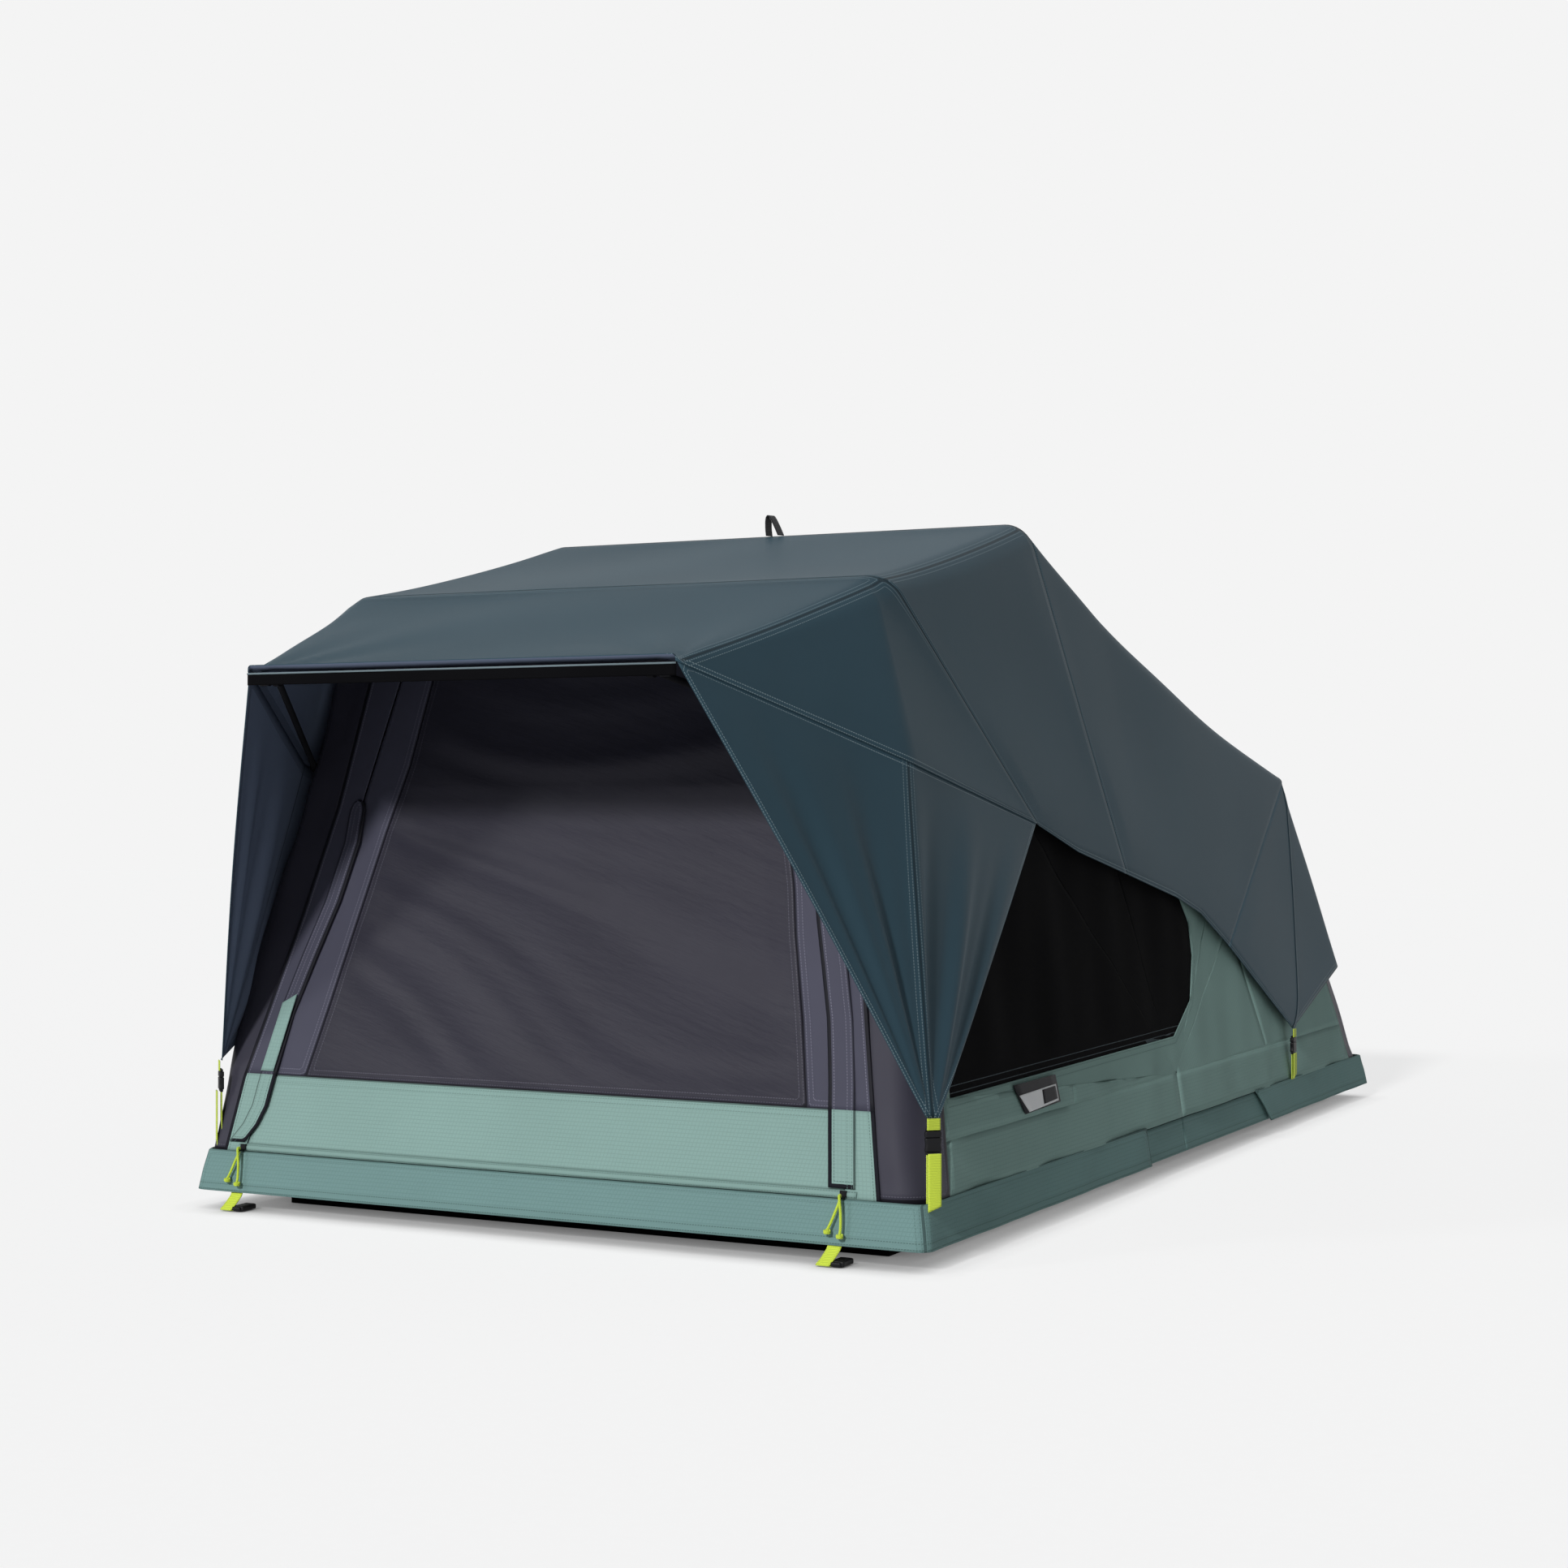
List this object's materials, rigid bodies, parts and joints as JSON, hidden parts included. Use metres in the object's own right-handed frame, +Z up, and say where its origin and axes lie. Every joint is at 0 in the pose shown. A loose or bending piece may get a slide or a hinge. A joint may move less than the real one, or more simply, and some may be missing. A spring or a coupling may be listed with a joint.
{
  "type": "roof top tent",
  "caption": "Folding roof top tent with a hinged base, a hoop frame, a dark fly sheet with a strutted awning, and a green and charcoal inner tent.",
  "frame": {"origin": "on the floor plane, under the middle of the overall length and width", "axes": "+X to the tent's right seen from its door, +Y to the rear, +Z up"},
  "size_m": [1.3086, 2.613, 1.1604],
  "materials": {
    "fly_fabric": "coated woven cloth, satin",
    "green_fabric": "ripstop cloth, matt",
    "charcoal_fabric": "woven cloth, matt",
    "door_fabric": "thin woven cloth, satin",
    "window_mesh": "fine mesh, matt",
    "black_webbing": "webbing, matt",
    "bright_webbing": "webbing, matt",
    "black_plastic": "moulded, matt",
    "dark_rod": "black coated, satin",
    "frame_aluminium": "extruded, satin",
    "coated_frame": "extruded, black coated",
    "hinge_steel": "zinc plated",
    "floor_panel": "faced plywood, satin",
    "mattress_cover": "woven cover, matt"
  },
  "bodies": {
    "rear_base": {"rear_base_frame": "coated_frame", "rear_floor_board": "floor_panel", "rear_mattress": "mattress_cover", "mounting_rails": "coated_frame", "rear_hinge_plates": "hinge_steel", "hinge_pins": "hinge_steel", "rear_skirt": "green_fabric", "middle_skirts": "green_fabric", "rear_wall": "charcoal_fabric", "rear_corner_sleeves": "charcoal_fabric", "side_wall_left": "green_fabric", "side_wall_right": "green_fabric", "window_left": "window_mesh", "window_right": "window_mesh", "side_label": "black_webbing", "rear_corner_straps": "bright_webbing", "rear_buckle_sockets": "black_plastic"},
    "front_base": {"front_base_frame": "coated_frame", "front_floor_board": "floor_panel", "front_mattress": "mattress_cover", "front_hinge_plates": "hinge_steel", "front_skirt": "green_fabric", "front_wall": "charcoal_fabric", "front_corner_sleeves": "charcoal_fabric", "zip_flap_left": "charcoal_fabric", "zip_flap_right": "charcoal_fabric", "flap_patch": "green_fabric", "door_zip": "green_fabric", "front_corner_straps": "bright_webbing", "front_buckle_sockets": "black_plastic", "tie_straps": "bright_webbing", "tie_buckles": "black_plastic"},
    "rear_hoop_body": {"rear_hoop": "frame_aluminium", "rear_hoop_eyes": "black_plastic", "fly_back": "fly_fabric"},
    "ridge_hoop_body": {"ridge_hoop": "frame_aluminium", "ridge_hoop_eyes": "black_plastic", "fly_rear_roof": "fly_fabric", "ridge_loop": "black_webbing"},
    "front_hoop_body": {"front_hoop": "frame_aluminium", "front_hoop_eyes": "black_plastic", "fly_front_roof": "fly_fabric"},
    "awning": {"awning_bar": "dark_rod", "awning_bar_caps": "black_plastic", "fly_awning": "fly_fabric", "fly_wing_left": "fly_fabric", "fly_wing_right": "fly_fabric"},
    "strut_left": {"awning_strut_left": "dark_rod"},
    "strut_right": {"awning_strut_right": "dark_rod"},
    "door": {"door_panel": "door_fabric", "door_band": "green_fabric"},
    "zip_left": {"zip_slider_left": "black_plastic", "zip_pull_left": "bright_webbing"},
    "zip_right": {"zip_slider_right": "black_plastic", "zip_pull_right": "bright_webbing"},
    "plug_front_left": {"buckle_plug_front_left": "black_plastic"},
    "plug_front_right": {"buckle_plug_front_right": "black_plastic"},
    "plug_rear_left": {"buckle_plug_rear_left": "black_plastic"},
    "plug_rear_right": {"buckle_plug_rear_right": "black_plastic"}
  },
  "joints": [
    {"name": "rear_hoop_fold", "type": "hinge", "parent": "rear_base", "child": "rear_hoop_body", "pos_m": [0, 0.0575, 0.17], "axis": [-1, 0, 0], "range_deg": [0, 31.53]},
    {"name": "tent_fold", "type": "hinge", "parent": "rear_hoop_body", "child": "ridge_hoop_body", "pos_m": [0, 0.0575, 0.17], "axis": [-1, 0, 0], "range_deg": [0, 78.87], "deforming": ["fly_awning", "fly_wing_left", "fly_wing_right", "fly_front_roof", "fly_rear_roof", "fly_back", "front_wall", "rear_wall", "side_wall_left", "side_wall_right", "window_left", "window_right", "front_corner_sleeves", "rear_corner_sleeves", "door_panel", "door_band", "zip_flap_left", "zip_flap_right", "flap_patch", "side_label", "middle_skirts"]},
    {"name": "front_hoop_fold", "type": "hinge", "parent": "ridge_hoop_body", "child": "front_hoop_body", "pos_m": [0, 0.0575, 0.17], "axis": [-1, 0, 0], "range_deg": [0, 27.55]},
    {"name": "front_base_fold", "type": "hinge", "parent": "front_hoop_body", "child": "front_base", "pos_m": [0, 0.0575, 0.17], "axis": [-1, 0, 0], "range_deg": [0, 42.06]},
    {"name": "awning_fold", "type": "hinge", "parent": "front_hoop_body", "child": "awning", "pos_m": [0, -0.87391, 0.98696], "axis": [1, 0, 0], "range_deg": [0, 119.79]},
    {"name": "strut_left_fold", "type": "hinge", "parent": "awning", "child": "strut_left", "pos_m": [0, -1.2945, 0.8425], "axis": [1, 0, 0], "range_deg": [0, 43.85]},
    {"name": "strut_right_fold", "type": "hinge", "parent": "awning", "child": "strut_right", "pos_m": [0, -1.2945, 0.8425], "axis": [1, 0, 0], "range_deg": [0, 43.85]},
    {"name": "door_swing", "type": "hinge", "parent": "front_hoop_body", "child": "door", "pos_m": [0, -0.90982, 0.925], "axis": [1, 0, 0], "range_deg": [0, 50]},
    {"name": "zip_left_slide", "type": "slide", "parent": "front_base", "child": "zip_left", "axis": [1, 0, 0], "range_m": [0, 0.48]},
    {"name": "zip_right_slide", "type": "slide", "parent": "front_base", "child": "zip_right", "axis": [-1, 0, 0], "range_m": [0, 0.48]},
    {"name": "buckle_front_left_release", "type": "slide", "parent": "front_base", "child": "plug_front_left", "axis": [0, 0, 1], "range_m": [0, 0.018]},
    {"name": "buckle_front_right_release", "type": "slide", "parent": "front_base", "child": "plug_front_right", "axis": [0, 0, 1], "range_m": [0, 0.018]},
    {"name": "buckle_rear_left_release", "type": "slide", "parent": "rear_base", "child": "plug_rear_left", "axis": [0, 0, 1], "range_m": [0, 0.018]},
    {"name": "buckle_rear_right_release", "type": "slide", "parent": "rear_base", "child": "plug_rear_right", "axis": [0, 0, 1], "range_m": [0, 0.018]}
  ],
  "couplings": [
    {"joint": "rear_hoop_fold", "follows": "tent_fold", "ratio": 0.3998},
    {"joint": "front_hoop_fold", "follows": "tent_fold", "ratio": 0.34928},
    {"joint": "front_base_fold", "follows": "tent_fold", "ratio": 0.53323},
    {"joint": "awning_fold", "follows": "tent_fold", "ratio": 1.5189},
    {"joint": "strut_left_fold", "follows": "tent_fold", "ratio": 0.55599},
    {"joint": "strut_right_fold", "follows": "tent_fold", "ratio": 0.55599}
  ]
}
